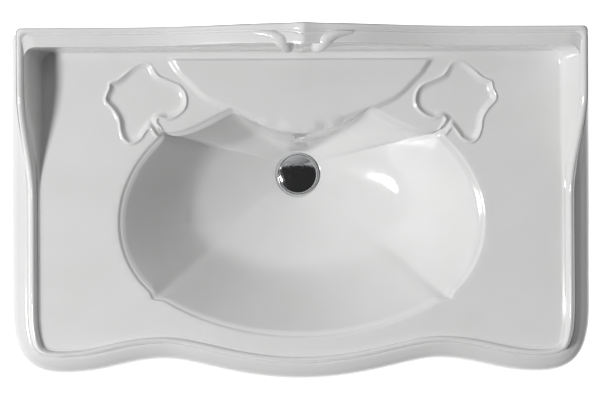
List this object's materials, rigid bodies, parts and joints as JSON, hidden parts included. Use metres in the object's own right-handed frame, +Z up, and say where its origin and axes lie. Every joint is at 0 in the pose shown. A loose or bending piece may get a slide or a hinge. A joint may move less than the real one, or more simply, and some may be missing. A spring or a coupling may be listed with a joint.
{
  "type": "pedestal sink",
  "caption": "White glazed washbasin with a serpentine front, moulded rim, crested upstand and oval bowl, on a hollow pedestal, with a push-open waste and a bottle trap.",
  "frame": {"origin": "on the floor, under the middle of the object's width and depth", "axes": "+X to the user's right when facing the wall, +Y towards the wall, +Z up"},
  "size_m": [0.85, 0.506, 0.947],
  "materials": {
    "basin_glaze": "white gloss glaze over fireclay",
    "pedestal_glaze": "white gloss glaze over fireclay",
    "waste_chrome": "polished chrome plate",
    "stopper_chrome": "polished chrome plate",
    "trap_chrome": "polished chrome plate",
    "brass": "turned, unplated",
    "steel": "zinc plated",
    "seal_rubber": "matt black",
    "nylon": "natural nylon"
  },
  "bodies": {
    "sink": {"basin": "basin_glaze", "pedestal": "pedestal_glaze", "pedestal_seal": "seal_rubber", "waste_body": "waste_chrome", "flange_seal": "seal_rubber", "basin_gasket": "seal_rubber", "waste_washer": "nylon", "waste_locknut": "brass", "stopper_cartridge": "brass", "cartridge_spring": "steel", "trap_inlet_washer": "seal_rubber", "trap_inlet_nut": "trap_chrome", "trap_inlet_pipe": "trap_chrome", "trap_top_washer": "seal_rubber", "trap_top_nut": "trap_chrome", "trap_body": "trap_chrome", "trap_cup": "trap_chrome", "cup_seal": "seal_rubber", "trap_outlet_washer": "seal_rubber", "trap_outlet_nut": "trap_chrome", "trap_arm": "trap_chrome", "wall_flange": "trap_chrome", "hanger_stud_left": "steel", "hanger_sleeve_left": "nylon", "hanger_washer_left": "steel", "hanger_nut_left": "steel", "hanger_cap_left": "nylon", "floor_screw_left": "steel", "floor_washer_left": "nylon", "floor_cap_left": "stopper_chrome", "hanger_stud_right": "steel", "hanger_sleeve_right": "nylon", "hanger_washer_right": "steel", "hanger_nut_right": "steel", "hanger_cap_right": "nylon", "floor_screw_right": "steel", "floor_washer_right": "nylon", "floor_cap_right": "stopper_chrome"},
    "stopper": {"stopper_cap": "stopper_chrome", "stopper_seal": "seal_rubber", "stopper_stem": "brass"}
  },
  "joints": [
    {"name": "stopper_slide", "type": "slide", "parent": "sink", "child": "stopper", "axis": [0, 0, 1], "range_m": [0, 0.009], "deforming": ["cartridge_spring"]}
  ]
}
